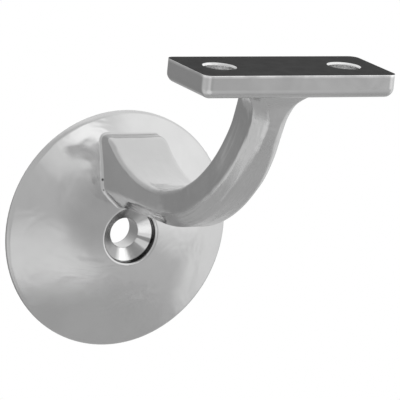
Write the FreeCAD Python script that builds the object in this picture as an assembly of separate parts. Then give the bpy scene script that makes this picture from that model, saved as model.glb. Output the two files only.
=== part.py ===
# Handrail bracket: a round domed wall rose, a U-shaped arm and a flat saddle for the rail,
# cast in one piece and polished.
# Frame: the origin is on the wall plane, on the axis of the wall screw. -Y points away from the
# wall, +Z points up and X runs along the handrail. The bracket is symmetric about X = 0.
# All lengths are in millimetres and all angles in degrees.

import FreeCAD, Part
import math
import os
from FreeCAD import Vector

# Rose: a shallow spherical cap with a rounded rim, a narrow upright edge and a flat back
rose_diameter = 64.8
rose_height = 9.7
rose_rim_radius = 1.7
rose_edge_height = 0.1

# Relief in the back of the rose, so that it bears on the wall with its rim and its screw boss
relief_depth = 2.5
relief_diameter = 48.0
relief_draft_angle = 20.0
screw_boss_diameter = 18.0

# Hole for the wall screw
screw_bore_diameter = 8.2
screw_head_diameter = 14.7
screw_head_depth = 2.2
screw_head_cone_angle = 121.0
screw_hole_edge_radius = 0.8

# Saddle: the plate that carries the rail, above the arm
saddle_length = 53.7
saddle_width = 22.3
saddle_thickness = 6.0
saddle_projection = 81.9
saddle_top_height = 62.3
saddle_corner_radius = 2.2
saddle_lower_edge_radius = 2.4

# Holes for the rail screws
rail_hole_diameter = 7.7
rail_hole_spacing = 35.0
rail_hole_edge_bevel = 0.45

# Arm: its upper side leaves the rose level, turns over a shoulder into one long arc and ends in
# a straight neck. Its lower side is a straight run, the bend, a wider arc and the neck.
arm_root_rim_distance = 5.7
arm_shoulder_radius = 5.0
arm_centre_projection = 31.1
arm_centre_height = 57.7
arm_inner_radius = 38.3
arm_neck_angle = 70.0
arm_underside_slope = 3.5
arm_bend_thickness = 9.65
arm_bend_end_angle = 25.0
arm_neck_thickness = 12.2
arm_section_count = 40

# Arm: its section is a rectangle with the two lower corners cut off
arm_root_half_width = 8.8
arm_bottom_half_width = 7.6
arm_neck_half_width = 4.9
arm_width_exponent = 1.6
arm_bend_corner_cut = 4.4
arm_neck_corner_cut = 2.8
arm_cut_change_angle = 50.0

# Arm: how far its long edges are rounded
arm_upper_edge_root_radius = 1.7
arm_upper_edge_neck_radius = 0.8
arm_side_edge_root_radius = 3.0
arm_side_edge_neck_radius = 0.8
arm_lower_edge_radius = 1.8

# Where the arm meets the rose and spreads into the saddle
root_fillet_radius = 0.9
flare_side_radius = 10.0
flare_front_radius = 4.0
flare_shortfall = 0.02

# How far the arm starts inside the rose and ends inside the saddle before they are joined
arm_root_projection = 3.0
joining_overlap = 1.0

arm_root_top_height = rose_diameter / 2 - arm_root_rim_distance
saddle_underside = saddle_top_height - saddle_thickness
arm_top_height = saddle_underside + joining_overlap


def point(x, projection, height):
    """A point from its place along the rail, its distance from the wall and its height."""
    return Vector(x, -projection, height)


def turned_about_screw_axis(outline):
    """The solid that a half outline of (radius, projection) edges gives about the screw axis."""
    face = Part.Face(Part.Wire(outline))
    return face.revolve(point(0, 0, 0), Vector(0, 1, 0), 360)


def open_outline(corners):
    """Straight edges through (radius, projection) corners."""
    points = [point(radius, projection, 0) for radius, projection in corners]
    return [Part.LineSegment(a, b).toShape() for a, b in zip(points, points[1:])]


def dome_sphere_radius():
    """The radius of the sphere through the crown that the rim's rounding touches from inside."""
    reach = rose_diameter / 2 - rose_rim_radius
    rise = rose_height - rose_edge_height
    return (reach * reach + rise * rise - rose_rim_radius ** 2) / (2 * (rise - rose_rim_radius))


def dome_height_at(radius):
    """How far the dome stands off the wall at a distance from the screw axis."""
    sphere = dome_sphere_radius()
    return rose_height - sphere + math.sqrt(sphere * sphere - radius * radius)


def make_rose():
    edge = rose_diameter / 2
    reach = edge - rose_rim_radius
    # The rim's rounding meets the dome on the line from the sphere's centre through its own centre.
    rim_tilt = math.asin(reach / (dome_sphere_radius() - rose_rim_radius))
    touch = dome_sphere_radius() * math.sin(rim_tilt)
    rim_middle = rim_tilt / 2 + math.pi / 4
    crown = point(0, rose_height, 0)
    shoulder = point(touch, dome_height_at(touch), 0)
    rim = point(
        reach + rose_rim_radius * math.sin(rim_middle),
        rose_edge_height + rose_rim_radius * math.cos(rim_middle),
        0,
    )
    return turned_about_screw_axis([
        Part.LineSegment(point(0, 0, 0), crown).toShape(),
        Part.Arc(crown, point(touch / 2, dome_height_at(touch / 2), 0), shoulder).toShape(),
        Part.Arc(shoulder, rim, point(edge, rose_edge_height, 0)).toShape(),
        Part.LineSegment(point(edge, rose_edge_height, 0), point(edge, 0, 0)).toShape(),
        Part.LineSegment(point(edge, 0, 0), point(0, 0, 0)).toShape(),
    ])


def make_relief():
    """The ring-shaped pocket between the rim and the screw boss."""
    lean = relief_depth * math.tan(math.radians(relief_draft_angle))
    outer = relief_diameter / 2
    inner = screw_boss_diameter / 2
    return turned_about_screw_axis(open_outline([
        (inner, 0),
        (outer, 0),
        (outer - lean, relief_depth),
        (inner + lean, relief_depth),
        (inner, 0),
    ]))


def make_screw_hole():
    """The bore, the seat for the screw's head, the straight wall above it and the rounded mouth."""
    bore = screw_bore_diameter / 2
    head = screw_head_diameter / 2
    seat = dome_height_at(head) - screw_head_depth
    cone_depth = (head - bore) / math.tan(math.radians(screw_head_cone_angle / 2))
    # The mouth's rounding touches the straight wall and, from inside, the dome's sphere.
    sphere = dome_sphere_radius()
    inner_sphere = sphere - screw_hole_edge_radius
    round_radius = head + screw_hole_edge_radius
    tilt = math.asin(round_radius / inner_sphere)
    round_height = rose_height - sphere + inner_sphere * math.cos(tilt)
    middle = math.pi / 4 - tilt / 2
    arc_middle = point(
        round_radius - screw_hole_edge_radius * math.cos(middle),
        round_height + screw_hole_edge_radius * math.sin(middle),
        0,
    )
    arc_end = point(sphere * math.sin(tilt), dome_height_at(sphere * math.sin(tilt)), 0)
    arc_start = point(head, round_height, 0)
    above = rose_height + 1
    return turned_about_screw_axis(
        open_outline([(0, above), (0, -1), (bore, -1), (bore, seat - cone_depth), (head, seat), (head, round_height)])
        + [Part.Arc(arc_start, arc_middle, arc_end).toShape()]
        + open_outline([(arc_end.x, -arc_end.y), (arc_end.x, above), (0, above)])
    )


def between(start, end, share):
    return start + (end - start) * min(max(share, 0.0), 1.0)


def off_arm_centre(angle, radius, centre=(arm_centre_projection, arm_centre_height)):
    """(projection, height) on a circle, from an angle off straight down."""
    turn = math.radians(angle)
    return (centre[0] + radius * math.sin(turn), centre[1] - radius * math.cos(turn))


def arc_about(centre, radius, start_angle, end_angle):
    middle_angle = (start_angle + end_angle) / 2
    ends = [point(0, *off_arm_centre(a, radius, centre)) for a in (start_angle, middle_angle, end_angle)]
    return Part.Arc(*ends).toShape()


def along_neck(start, height):
    """The point at a height on the line that leaves a point at the neck's angle."""
    lean = 1 / math.tan(math.radians(arm_neck_angle))
    return (start[0] + (height - start[1]) * lean, height)


def upper_outline():
    """The arm's upper side in the middle plane."""
    centre = (arm_centre_projection, arm_centre_height)
    shoulder_height = arm_root_top_height - arm_shoulder_radius
    centre_distance = arm_inner_radius + arm_shoulder_radius
    shoulder_angle = math.degrees(math.acos((arm_centre_height - shoulder_height) / centre_distance))
    shoulder = off_arm_centre(-shoulder_angle, centre_distance)
    neck = off_arm_centre(arm_neck_angle, arm_inner_radius)
    top = along_neck(neck, arm_top_height)
    root = (arm_root_projection, arm_root_top_height)
    return Part.Wire([
        Part.LineSegment(point(0, *root), point(0, shoulder[0], arm_root_top_height)).toShape(),
        arc_about(shoulder, arm_shoulder_radius, 180, 180 - shoulder_angle),
        arc_about(centre, arm_inner_radius, -shoulder_angle, arm_neck_angle),
        Part.LineSegment(point(0, *neck), point(0, *top)).toShape(),
    ])


def lower_outline():
    """The arm's lower side: a straight run out of the rose, the bend, a wider arc and the neck."""
    centre = (arm_centre_projection, arm_centre_height)
    bend_radius = arm_inner_radius + arm_bend_thickness
    bend_start = off_arm_centre(arm_underside_slope, bend_radius)
    run = bend_start[0] - arm_root_projection
    root = (arm_root_projection, bend_start[1] - run * math.tan(math.radians(arm_underside_slope)))
    # The wider arc leaves the bend smoothly and ends at the neck's thickness.
    turn = math.cos(math.radians(arm_neck_angle - arm_bend_end_angle))
    wide_radius = (arm_inner_radius + arm_neck_thickness - bend_radius * turn) / (1 - turn)
    wide_centre = off_arm_centre(arm_bend_end_angle, bend_radius - wide_radius)
    neck = off_arm_centre(arm_neck_angle, wide_radius, wide_centre)
    top = along_neck(neck, arm_top_height)
    return Part.Wire([
        Part.LineSegment(point(0, *root), point(0, *bend_start)).toShape(),
        arc_about(centre, bend_radius, arm_underside_slope, arm_bend_end_angle),
        arc_about(wide_centre, wide_radius, arm_bend_end_angle, arm_neck_angle),
        Part.LineSegment(point(0, *neck), point(0, *top)).toShape(),
    ])


def fillet_reach(radius, height):
    """How far a quarter round under the saddle stands out at a height."""
    drop = max(saddle_underside - height, radius * flare_shortfall)
    if drop >= radius:
        return 0.0
    return radius - math.sqrt(radius * radius - (radius - drop) ** 2)


def angle_off_bottom(projection, height):
    """The angle off straight down at which the centre of the long arc sees a point."""
    return math.degrees(math.atan2(projection - arm_centre_projection, arm_centre_height - height))


def arm_half_width(angle):
    """Half the arm's width, which shrinks from the rose to the bottom of the arc and on to the neck."""
    if angle < 0:
        root_angle = angle_off_bottom(arm_root_projection, arm_root_top_height)
        return between(arm_bottom_half_width, arm_root_half_width, angle / root_angle)
    neck_share = min(angle / arm_neck_angle, 1.0)
    return between(arm_bottom_half_width, arm_neck_half_width, neck_share ** arm_width_exponent)


def arm_section(upper, lower):
    """One section of the arm, a rectangle with its two lower corners cut off."""
    angle = angle_off_bottom(-upper.y, upper.z)
    half_width = arm_half_width(angle)
    cut = between(arm_bend_corner_cut, arm_neck_corner_cut, angle / arm_cut_change_angle)
    thickness = (lower - upper).Length
    across = (lower - upper) / thickness

    def place(x, depth):
        spot = upper + across * depth
        outward = fillet_reach(flare_front_radius, spot.z) * depth / thickness
        sideways = fillet_reach(flare_side_radius, spot.z) * depth / thickness
        return Vector(x + math.copysign(sideways, x), spot.y - outward, spot.z)

    return [
        place(-half_width, 0),
        place(-half_width, thickness - cut),
        place(cut - half_width, thickness),
        place(half_width - cut, thickness),
        place(half_width, thickness - cut),
        place(half_width, 0),
    ]


def arm_rails():
    """Smooth curves through the like corners of the arm's sections, and the two end sections."""
    uppers = upper_outline().discretize(Number=arm_section_count)
    lowers = lower_outline().discretize(Number=arm_section_count)
    sections = [arm_section(upper, lower) for upper, lower in zip(uppers, lowers)]
    rails = []
    for corner_row in zip(*sections):
        curve = Part.BSplineCurve()
        curve.interpolate(list(corner_row))
        rails.append(curve.toShape())
    return rails, [sections[0], sections[-1]]


def make_arm(rails, ends):
    faces = [Part.makeRuledSurface(a, b) for a, b in zip(rails, rails[1:] + rails[:1])]
    faces += [Part.Face(Part.makePolygon(end + end[:1])) for end in ends]
    shell = Part.Shell(faces)
    shell.sewShape()
    arm = Part.Solid(shell)
    if arm.Volume < 0:
        arm.reverse()
    return arm


def edge_through(body, spot):
    """The edge of a body that passes through a point."""
    vertex = Part.Vertex(spot)
    return min(body.Edges, key=lambda edge: edge.distToShape(vertex)[0])


def middle_of(rail):
    return rail.valueAt((rail.FirstParameter + rail.LastParameter) / 2)


def round_along(body, spot, root_radius, neck_radius):
    """Rounds the edge through a point, by a radius that changes evenly from the rose to the neck."""
    edge = edge_through(body, spot)
    radii = [root_radius, neck_radius]
    if edge.Vertexes[0].Y < edge.Vertexes[-1].Y:
        radii.reverse()
    return body.makeFillet(radii[0], radii[1], [edge]).Solids[0]


def soften_long_edges(body, rails):
    """Rounds the arm's six long edges, the upper pair first and the side pair last."""
    spots = [middle_of(rail) for rail in rails]
    for index in (0, 5):
        body = round_along(body, spots[index], arm_upper_edge_root_radius, arm_upper_edge_neck_radius)
    for index in (2, 3):
        body = round_along(body, spots[index], arm_lower_edge_radius, arm_lower_edge_radius)
    for index in (1, 4):
        body = round_along(body, spots[index], arm_side_edge_root_radius, arm_side_edge_neck_radius)
    return body


def make_saddle():
    plate = Part.makeBox(
        saddle_length,
        saddle_width,
        saddle_thickness,
        point(-saddle_length / 2, saddle_projection + saddle_width / 2, saddle_underside),
    )
    upright = [e for e in plate.Edges if e.BoundBox.ZLength > saddle_thickness / 2]
    plate = plate.makeFillet(saddle_corner_radius, upright)
    lower = [e for e in plate.Edges if e.BoundBox.ZMax < saddle_underside + 1e-4]
    return plate.makeFillet(saddle_lower_edge_radius, lower)


def make_rail_hole(x):
    """A plain through hole whose upper and lower edges are broken by a small bevel."""
    radius = rail_hole_diameter / 2
    bevel = rail_hole_edge_bevel
    axis_foot = point(x, saddle_projection, saddle_underside)
    hole = Part.makeCylinder(radius, saddle_thickness, axis_foot)
    lower = Part.makeCone(radius + bevel, radius, bevel, axis_foot)
    upper = Part.makeCone(radius, radius + bevel, bevel, axis_foot + Vector(0, 0, saddle_thickness - bevel))
    return hole.fuse([lower, upper])


def on_dome(spot):
    radius = math.hypot(spot.x, spot.z)
    return radius < rose_diameter / 2 - rose_rim_radius and abs(-spot.y - dome_height_at(radius)) < 0.01


def root_edges(body):
    """The edges round the foot of the arm, where it stands on the dome."""
    found = []
    for edge in body.Edges:
        if edge.Length > 0.01 and all(on_dome(spot) for spot in edge.discretize(Number=5)):
            found.append(edge)
    return found


def make_bracket():
    rails, ends = arm_rails()
    body = make_rose().fuse(make_arm(rails, ends)).Solids[0]
    body = soften_long_edges(body, rails)
    body = body.makeFillet(root_fillet_radius, root_edges(body)).Solids[0]
    body = body.fuse(make_saddle()).Solids[0]
    body = body.cut(make_relief()).Solids[0]
    body = body.cut(make_screw_hole()).Solids[0]
    for side in (-1, 1):
        body = body.cut(make_rail_hole(side * rail_hole_spacing / 2)).Solids[0]
    return body


os.makedirs("parts", exist_ok=True)
bracket = make_bracket()
bracket.exportStep("parts/bracket.step")
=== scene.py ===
import math

import bmesh
import bpy
from mathutils import Matrix, Vector


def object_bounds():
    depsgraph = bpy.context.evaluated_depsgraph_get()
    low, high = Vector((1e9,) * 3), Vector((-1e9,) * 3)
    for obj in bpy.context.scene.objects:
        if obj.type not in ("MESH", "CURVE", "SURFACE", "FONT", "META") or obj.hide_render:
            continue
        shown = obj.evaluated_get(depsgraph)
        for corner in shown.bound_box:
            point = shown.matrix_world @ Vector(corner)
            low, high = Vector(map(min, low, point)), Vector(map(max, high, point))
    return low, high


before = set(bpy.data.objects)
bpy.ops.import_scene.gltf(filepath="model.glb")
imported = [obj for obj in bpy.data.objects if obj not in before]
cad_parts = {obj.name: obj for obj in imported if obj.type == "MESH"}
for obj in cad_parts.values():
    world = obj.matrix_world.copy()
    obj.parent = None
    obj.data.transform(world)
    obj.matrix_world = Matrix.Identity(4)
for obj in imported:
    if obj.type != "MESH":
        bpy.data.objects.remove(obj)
CAD_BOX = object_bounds()

# Places and sizes of the bracket that its finish follows, in metres, from the point where the
# wall screw's axis meets the wall. X runs along the rail, -Y away from the wall and Z up.
SADDLE_TOP = CAD_BOX[1][2]
SADDLE_PROJECTION = 0.0819
RAIL_HOLE_SPACING = 0.035
RAIL_HOLE_RADIUS = 0.00385
RAIL_HOLE_BEVEL = 0.00045
SCREW_HEAD_RADIUS = 0.00735
SEAT_PROJECTION = 0.0052
RECESS_PROJECTION = 0.0071
RECESS_LENGTH = 0.0022
ARM_BEND_CENTRE_Y = -0.0311
ARM_BEND_CENTRE_Z = 0.0577
ARM_LINES_INNER_RADIUS = 0.034
ARM_LINES_OUTER_RADIUS = 0.051
ARM_LINES_FADE = 0.003
ARM_LINES_PROJECTION = 0.0088
ARM_LINES_START_FADE = 0.004
ARM_TOP = 0.053
ARM_TOP_FADE = 0.006
SADDLE_FADE = 0.003
FINISH_MARGIN = 0.0001

# The upward part of a face's normal at which it starts to count as level, and fully counts
LEVEL_FROM = 0.9
LEVEL_FULL = 0.98

# Clouds of noise: (scale, detail, roughness, spread about the middle, lowest level, highest level)
METAL_SHADE = (60.0, 4.0, 0.6, 0.2, 0.60, 0.64)
# Painted reflection: radial streaks on the screw's seat, for its turning marks mirroring the light
SEAT_REFLECTION_STREAKS = (4.0, 6.0, 0.7, 0.2, 0.57, 0.67)
# Painted light: the rail holes' walls lightened against the shade inside them, in bright and dark
# patches
RAIL_HOLE_PAINTED_LIGHT = (420.0, 3.0, 0.6, 0.1, 0.72, 1.0)
# Breaks up the painted glint along the saddle's upper edge
EDGE_GLINT_BREAKUP = (150.0, 2.0, 0.5, 0.1, 0.4, 1.0)
# Painted reflection: the saddle top's near black, for the dark surroundings that its polished face
# mirrors
SADDLE_TOP_PAINTED_DARK = (260.0, 5.0, 0.7, 0.2, 0.008, 0.02)
POLISH_ROUGHNESS = (140.0, 6.0, 0.65, 0.2, 0.10, 0.19)

# Even shades and roughnesses of single places
# Painted glint on the saddle's upper edge
EDGE_GLINT_SHADE = 0.95
# Painted shade on the recess wall above the screw's seat
RECESS_PAINTED_SHADE = 0.08
# The two dark spots beside the arm's root
DARK_SPOT_SHADE = 0.03
TURNED_ROUGHNESS = 0.25
# Roughness of the saddle top that carries the painted near black
DARK_TOP_ROUGHNESS = 0.9

# A painted glint: the saddle's upper edge is painted bright in a band just below its top
EDGE_GLINT_FULL = 0.0002
EDGE_GLINT_GONE = 0.0009

# Painted reflection: light and dark fans on the turned seat of the wall screw, for its turning marks:
# (angle clockwise from the top, full within, gone beyond, shade), with the angles in degrees
SEAT_REFLECTION_FANS = (
    (0, 18, 45, 0.42),
    (82, 18, 30, 0.95),
    (105, 2, 7, 0.38),
    (118, 4, 10, 0.85),
    (146, 14, 22, 0.40),
    (181, 7, 16, 0.98),
    (224, 16, 28, 0.36),
    (258, 12, 30, 0.45),
)

# Two small dark spots beside the arm's root, darkened in the colour: (x, y, z, radius), in metres.
# A spot is fully dark over the inner share of its radius, and fades out towards its rim.
DARK_SPOTS = (
    (-0.0087, -0.0072, 0.0152, 0.0006),
    (-0.0085, -0.0079, 0.0126, 0.0004),
)
DARK_SPOT_FULL_SHARE = 0.6

# Relief in the finish, in metres, with the strength of each kind as a share of it. The grain and
# the arm's lines are noise: (scale, detail, roughness). The stretch draws the lines out round the
# bend, so that they run along the arm.
RELIEF = 0.00035
SWELL = {"Scale": 70.0, "Detail": 2.0, "Roughness": 0.45, "Distortion": 1.2}
SADDLE_SWELL_SHARE = 0.3
GRAIN = (900.0, 3.0, 0.6)
GRAIN_SHARE = 0.01
ARM_LINES = (160.0, 4.0, 0.5)
ARM_LINES_SHARE = 2.4
ARM_LINES_STRETCH = 0.004
EDGE_SOFTENING = 0.0003
EDGE_SOFTENING_SAMPLES = 8

# The camera: a long lens, to the left of the bracket and a little above it. Angles in degrees.
CAMERA_AZIMUTH = -28.245
CAMERA_ELEVATION = 12.909
CAMERA_ROLL = 5.623
CAMERA_DISTANCE = 1.05625
CAMERA_TARGET = Vector((0.007277, -0.0325, 0.015659))
CAMERA_LENS = 364.193
CAMERA_SENSOR_WIDTH = 36.0
CAMERA_CLIP_END = 10.0

# The light tent round the bracket, with soft patches:
# (azimuth, elevation, full within, gone beyond, level), with the angles in degrees
TENT_RADIUS = 2.2
TENT_SUBDIVISIONS = 5
TENT_LEVEL = 0.64
TENT_PATCHES = (
    (0, -90, 25, 65, 0.48),
    (115, 45, 40, 75, 0.95),
    (-90, -42, 15, 40, 0.78),
    (-165, -20, 8, 52, 0.32),
    (58, 20, 22, 45, 1.18),
    (85, -20, 8, 24, 0.95),
    (-20, -37, 14, 36, 0.94),
    (12, -3, 8, 25, 0.50),
    (-8, 33, 8, 22, 0.90),
    (6, 31, 6, 15, 1.40),
)

# The floor: a pale disc under the bracket that fades out towards its edge
FLOOR_CENTRE = (0, -0.04, -0.16)
FLOOR_RADIUS = 0.23
FLOOR_FADE = 0.07
FLOOR_SEGMENTS = 96
FLOOR_COLOUR = (0.60, 0.60, 0.60, 1.0)
FLOOR_ROUGHNESS = 0.9

WHITE = (1.0, 1.0, 1.0, 1.0)
BACKGROUND_LEVEL = 1.0
AMBIENT_LEVEL = 0.6


def direction(azimuth, elevation):
    """A unit vector. Azimuth 0 points away from the wall, along -Y, and 90 along +X."""
    turn, rise = math.radians(azimuth), math.radians(elevation)
    return Vector((
        math.sin(turn) * math.cos(rise),
        -math.cos(turn) * math.cos(rise),
        math.sin(rise),
    ))


class Nodes:
    """Short forms for building one node tree."""

    def __init__(self, tree):
        self.tree = tree

    def add(self, kind, inputs=(), **settings):
        node = self.tree.nodes.new(kind)
        for name, value in settings.items():
            setattr(node, name, value)
        for name, value in dict(inputs).items():
            self.set(node, name, value)
        return node

    def set(self, node, name, value):
        """Links another node's output to a socket, or gives the socket a plain value."""
        socket = node.inputs[name]
        if isinstance(value, bpy.types.NodeSocket):
            self.tree.links.new(value, socket)
        else:
            socket.default_value = value

    def math(self, operation, *values):
        node = self.add("ShaderNodeMath", operation=operation)
        for index, value in enumerate(values):
            self.set(node, index, value)
        return node.outputs[0]

    def vector(self, operation, *values):
        return self.add("ShaderNodeVectorMath", dict(enumerate(values)), operation=operation).outputs

    def length(self, first, second):
        """The length of the vector that has these two parts."""
        squares = [self.math("POWER", part, 2.0) for part in (first, second)]
        return self.math("SQRT", self.math("ADD", *squares))

    def ramp(self, value, low, high, to_low=0.0, to_high=1.0):
        """A smooth step from one level to another as a value goes from low to high."""
        entries = dict(enumerate((value, low, high, to_low, to_high)))
        return self.add("ShaderNodeMapRange", entries, interpolation_type="SMOOTHSTEP").outputs[0]

    def band(self, value, low, high, fade):
        """1 while a value lies between two limits, fading to 0 beyond them."""
        rise = self.ramp(value, low - fade, low)
        fall = self.ramp(value, high, high + fade)
        return self.math("SUBTRACT", rise, fall)

    def mix(self, share, first, second):
        entries = {0: share, 2: first, 3: second}
        return self.add("ShaderNodeMix", entries, data_type="FLOAT").outputs[0]

    def noise(self, place, scale, detail, roughness):
        entries = {"Vector": place, "Scale": scale, "Detail": detail, "Roughness": roughness}
        return self.add("ShaderNodeTexNoise", entries).outputs["Fac"]

    def cloud(self, place, settings):
        """Noise that wanders between a lowest and a highest level."""
        scale, detail, roughness, spread, lowest, highest = settings
        noise = self.noise(place, scale, detail, roughness)
        return self.ramp(noise, 0.5 - spread, 0.5 + spread, lowest, highest)

    def patch(self, outward, middle, full_within, gone_beyond):
        """1 in directions near the middle one, fading to 0. The two limits are in degrees."""
        nearness = self.vector("DOT_PRODUCT", outward, middle)["Value"]
        low = math.cos(math.radians(gone_beyond))
        high = math.cos(math.radians(full_within))
        return self.ramp(nearness, low, high)


def new_material(name):
    material = bpy.data.materials.new(name)
    material.use_nodes = True
    return material


def saddle_top_share(nodes, z):
    """1 on the saddle's upper face, painted near black for the dark reflection its polished face
    shows.
    """
    normal = nodes.add("ShaderNodeNewGeometry").outputs["Normal"]
    normal_z = nodes.add("ShaderNodeSeparateXYZ", {0: normal}).outputs[2]
    near_top = nodes.ramp(z, SADDLE_TOP - FINISH_MARGIN, SADDLE_TOP - FINISH_MARGIN / 2)
    return nodes.math("MULTIPLY", near_top, nodes.ramp(normal_z, LEVEL_FROM, LEVEL_FULL))


def recess_shade_share(nodes, reach, projection):
    """1 on the straight wall above the wall screw's seat, which gets painted shade."""
    inner, outer = SCREW_HEAD_RADIUS - FINISH_MARGIN, SCREW_HEAD_RADIUS + FINISH_MARGIN
    around = nodes.band(reach, inner, outer, FINISH_MARGIN)
    along = nodes.band(
        projection, RECESS_PROJECTION, RECESS_PROJECTION + RECESS_LENGTH, FINISH_MARGIN
    )
    return nodes.math("MULTIPLY", around, along)


def seat_share(nodes, reach, projection):
    """1 on the turned cone that the wall screw's head sits in."""
    along = nodes.band(projection, SEAT_PROJECTION, RECESS_PROJECTION, FINISH_MARGIN)
    around = nodes.ramp(reach, SCREW_HEAD_RADIUS, SCREW_HEAD_RADIUS + FINISH_MARGIN, 1.0, 0.0)
    return nodes.math("MULTIPLY", along, around)


def rail_hole_share(nodes, x, y, z):
    """1 on the walls of the two rail screw holes, below their bevels, which get painted light."""
    aside = nodes.math("SUBTRACT", nodes.math("ABSOLUTE", x), RAIL_HOLE_SPACING / 2)
    along = nodes.math("ADD", y, SADDLE_PROJECTION)
    reach = nodes.length(aside, along)
    wall = RAIL_HOLE_RADIUS + FINISH_MARGIN
    inside = nodes.ramp(reach, wall, wall + FINISH_MARGIN, 1.0, 0.0)
    bevel_foot = SADDLE_TOP - RAIL_HOLE_BEVEL
    low, high = bevel_foot - FINISH_MARGIN / 2, bevel_foot + FINISH_MARGIN / 2
    return nodes.math("MULTIPLY", inside, nodes.ramp(z, low, high, 1.0, 0.0))


def edge_glint_share(nodes, place, z):
    """How far the painted glint along the saddle's upper edge reaches."""
    band = nodes.ramp(z, SADDLE_TOP - EDGE_GLINT_GONE, SADDLE_TOP - EDGE_GLINT_FULL)
    return nodes.math("MULTIPLY", band, nodes.cloud(place, EDGE_GLINT_BREAKUP))


def dark_spots_share(nodes, place):
    """1 in the two dark spots."""
    share = 0.0
    for *centre, radius in DARK_SPOTS:
        gap = nodes.vector("DISTANCE", place, centre)["Value"]
        pit = nodes.ramp(gap, DARK_SPOT_FULL_SHARE * radius, radius, 1.0, 0.0)
        share = nodes.math("MAXIMUM", share, pit)
    return share


def painted_seat_reflection(nodes, x, z):
    """Painted reflection on the screw's seat: fans and streaks that change with the angle round the
    screw alone.
    """
    spoke = nodes.add("ShaderNodeCombineXYZ", {0: x, 2: z}).outputs[0]
    outward = nodes.vector("NORMALIZE", spoke)[0]
    shade = nodes.cloud(outward, SEAT_REFLECTION_STREAKS)
    for angle, full_within, gone_beyond, level in SEAT_REFLECTION_FANS:
        turn = math.radians(angle)
        middle = (math.sin(turn), 0, math.cos(turn))
        shade = nodes.mix(nodes.patch(outward, middle, full_within, gone_beyond), shade, level)
    return shade


def arm_lines(nodes, x, y, z):
    """Polish lines that run along the arm, round its bend."""
    across = nodes.math("SUBTRACT", y, ARM_BEND_CENTRE_Y)
    above = nodes.math("SUBTRACT", z, ARM_BEND_CENTRE_Z)
    reach = nodes.length(across, above)
    shares = (
        nodes.band(reach, ARM_LINES_INNER_RADIUS, ARM_LINES_OUTER_RADIUS, ARM_LINES_FADE),
        nodes.ramp(z, ARM_TOP - ARM_TOP_FADE, ARM_TOP, 1.0, 0.0),
        nodes.ramp(y, -ARM_LINES_PROJECTION - ARM_LINES_START_FADE, -ARM_LINES_PROJECTION, 1.0, 0.0),
    )
    turn = nodes.math("MULTIPLY", nodes.math("ARCTAN2", across, above), ARM_LINES_STRETCH)
    place = nodes.add("ShaderNodeCombineXYZ", {0: reach, 1: x, 2: turn}).outputs[0]
    lines = nodes.math("SUBTRACT", nodes.noise(place, *ARM_LINES), 0.5)
    for share in shares:
        lines = nodes.math("MULTIPLY", lines, share)
    return lines


def finish_relief(nodes, place, x, y, z):
    """The slow swell that hand polishing leaves, the lines along the arm, and a fine grain."""
    swell = nodes.add("ShaderNodeTexNoise", {"Vector": place, **SWELL}).outputs["Fac"]
    swell_share = nodes.ramp(z, ARM_TOP, ARM_TOP + SADDLE_FADE, 1.0, SADDLE_SWELL_SHARE)
    parts = (
        nodes.math("MULTIPLY", nodes.noise(place, *GRAIN), GRAIN_SHARE),
        nodes.math("MULTIPLY", arm_lines(nodes, x, y, z), ARM_LINES_SHARE),
    )
    height = nodes.math("MULTIPLY", swell, swell_share)
    for part in parts:
        height = nodes.math("ADD", height, part)
    softened = nodes.add("ShaderNodeBevel", {"Radius": EDGE_SOFTENING}, samples=EDGE_SOFTENING_SAMPLES)
    entries = {
        "Height": height,
        "Strength": 1.0,
        "Distance": RELIEF,
        "Normal": softened.outputs["Normal"],
    }
    return nodes.add("ShaderNodeBump", entries).outputs["Normal"]


def casting_material():
    """Polished cast metal, rougher where turned, with painted light and shade in several places."""
    material = new_material("polished_casting")
    nodes = Nodes(material.node_tree)
    shader = material.node_tree.nodes["Principled BSDF"]
    place = nodes.add("ShaderNodeTexCoord").outputs["Object"]
    x, y, z = nodes.add("ShaderNodeSeparateXYZ", {0: place}).outputs
    reach = nodes.length(x, z)
    projection = nodes.math("MULTIPLY", y, -1.0)
    # The saddle top, painted near black and non-metal for the dark reflection of its polished face
    painted_dark_top = saddle_top_share(nodes, z)
    seat = seat_share(nodes, reach, projection)
    hole = rail_hole_share(nodes, x, y, z)

    shade = nodes.cloud(place, METAL_SHADE)
    # Random tone, with painted reflection, a painted glint, painted light and shade and a painted
    # near-black top mixed in
    for share, level in (
        (seat, painted_seat_reflection(nodes, x, z)),
        (edge_glint_share(nodes, place, z), EDGE_GLINT_SHADE),
        (hole, nodes.cloud(place, RAIL_HOLE_PAINTED_LIGHT)),
        (recess_shade_share(nodes, reach, projection), RECESS_PAINTED_SHADE),
        (dark_spots_share(nodes, place), DARK_SPOT_SHADE),
        (painted_dark_top, nodes.cloud(place, SADDLE_TOP_PAINTED_DARK)),
    ):
        shade = nodes.mix(share, shade, level)
    colour = nodes.add("ShaderNodeCombineColor", {0: shade, 1: shade, 2: shade}).outputs[0]

    roughness = nodes.cloud(place, POLISH_ROUGHNESS)
    roughness = nodes.mix(nodes.math("MAXIMUM", seat, hole), roughness, TURNED_ROUGHNESS)
    roughness = nodes.mix(painted_dark_top, roughness, DARK_TOP_ROUGHNESS)

    nodes.set(shader, "Base Color", colour)
    nodes.set(shader, "Metallic", nodes.math("SUBTRACT", 1.0, painted_dark_top))
    nodes.set(shader, "Roughness", roughness)
    nodes.set(shader, "Normal", finish_relief(nodes, place, x, y, z))
    return material


def dress_bracket():
    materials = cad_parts["bracket"].data.materials
    materials.clear()
    materials.append(casting_material())


def add_mesh(name, shape):
    mesh = bpy.data.meshes.new(name)
    shape.to_mesh(mesh)
    shape.free()
    piece = bpy.data.objects.new(name, mesh)
    bpy.context.scene.collection.objects.link(piece)
    return piece


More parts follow.
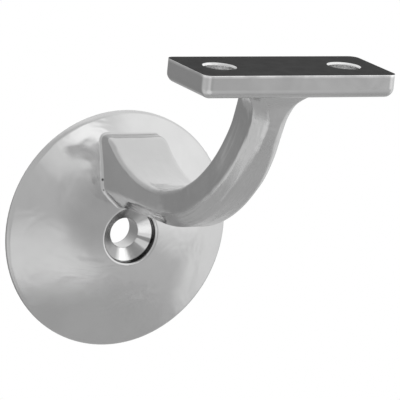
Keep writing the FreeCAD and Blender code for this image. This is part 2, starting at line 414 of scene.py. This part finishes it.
def tent_material():
    """A glow that is smooth all round, with dimmer and brighter patches."""
    material = new_material("light_tent")
    nodes = Nodes(material.node_tree)
    material.node_tree.nodes.remove(material.node_tree.nodes["Principled BSDF"])
    place = nodes.add("ShaderNodeTexCoord").outputs["Object"]
    outward = nodes.vector("NORMALIZE", place)[0]
    glow = TENT_LEVEL
    for azimuth, elevation, full_within, gone_beyond, level in TENT_PATCHES:
        share = nodes.patch(outward, direction(azimuth, elevation), full_within, gone_beyond)
        glow = nodes.mix(share, glow, level)
    emission = nodes.add("ShaderNodeEmission", {"Color": WHITE, "Strength": glow}).outputs[0]
    nodes.set(material.node_tree.nodes["Material Output"], "Surface", emission)
    return material


def add_tent():
    """The tent gives all the light, and is what the metal mirrors. The camera doesn't see it."""
    shape = bmesh.new()
    bmesh.ops.create_icosphere(shape, subdivisions=TENT_SUBDIVISIONS, radius=TENT_RADIUS)
    tent = add_mesh("light_tent", shape)
    tent.data.materials.append(tent_material())
    tent.visible_camera = False
    tent.visible_shadow = False


def floor_material():
    material = new_material("floor")
    nodes = Nodes(material.node_tree)
    shader = material.node_tree.nodes["Principled BSDF"]
    place = nodes.add("ShaderNodeTexCoord").outputs["Object"]
    reach = nodes.vector("LENGTH", place)["Value"]
    nodes.set(shader, "Base Color", FLOOR_COLOUR)
    nodes.set(shader, "Roughness", FLOOR_ROUGHNESS)
    nodes.set(shader, "Alpha", nodes.ramp(reach, FLOOR_FADE, FLOOR_RADIUS, 1.0, 0.0))
    return material


def add_floor():
    shape = bmesh.new()
    bmesh.ops.create_circle(shape, cap_ends=True, segments=FLOOR_SEGMENTS, radius=FLOOR_RADIUS)
    floor = add_mesh("floor", shape)
    floor.location = FLOOR_CENTRE
    floor.data.materials.append(floor_material())


def add_world():
    """White behind the bracket."""
    world = bpy.data.worlds.new("studio")
    bpy.context.scene.world = world
    world.use_nodes = True
    nodes = Nodes(world.node_tree)
    path = nodes.add("ShaderNodeLightPath").outputs
    seen = nodes.math("MAXIMUM", path["Is Camera Ray"], path["Is Glossy Ray"])
    seen = nodes.math("MAXIMUM", seen, path["Is Transmission Ray"])
    background = world.node_tree.nodes["Background"]
    nodes.set(background, "Color", WHITE)
    nodes.set(background, "Strength", nodes.mix(seen, AMBIENT_LEVEL, BACKGROUND_LEVEL))


def add_camera():
    """The camera looks at its target, turned a little about its own axis."""
    back = direction(CAMERA_AZIMUTH, CAMERA_ELEVATION)
    roll = math.radians(CAMERA_ROLL)
    right = (-back).cross(Vector((0, 0, 1))).normalized()
    up = right.cross(-back)
    turned_right = math.cos(roll) * right + math.sin(roll) * up
    turned_up = -math.sin(roll) * right + math.cos(roll) * up
    data = bpy.data.cameras.new("camera")
    data.lens = CAMERA_LENS
    data.sensor_width = CAMERA_SENSOR_WIDTH
    data.clip_end = CAMERA_CLIP_END
    camera = bpy.data.objects.new("camera", data)
    place = Matrix((turned_right, turned_up, back)).transposed().to_4x4()
    place.translation = CAMERA_TARGET + back * CAMERA_DISTANCE
    camera.matrix_world = place
    bpy.context.scene.collection.objects.link(camera)
    bpy.context.scene.camera = camera


dress_bracket()
add_camera()
add_world()
add_tent()
add_floor()
bpy.context.scene.view_settings.view_transform = "Standard"
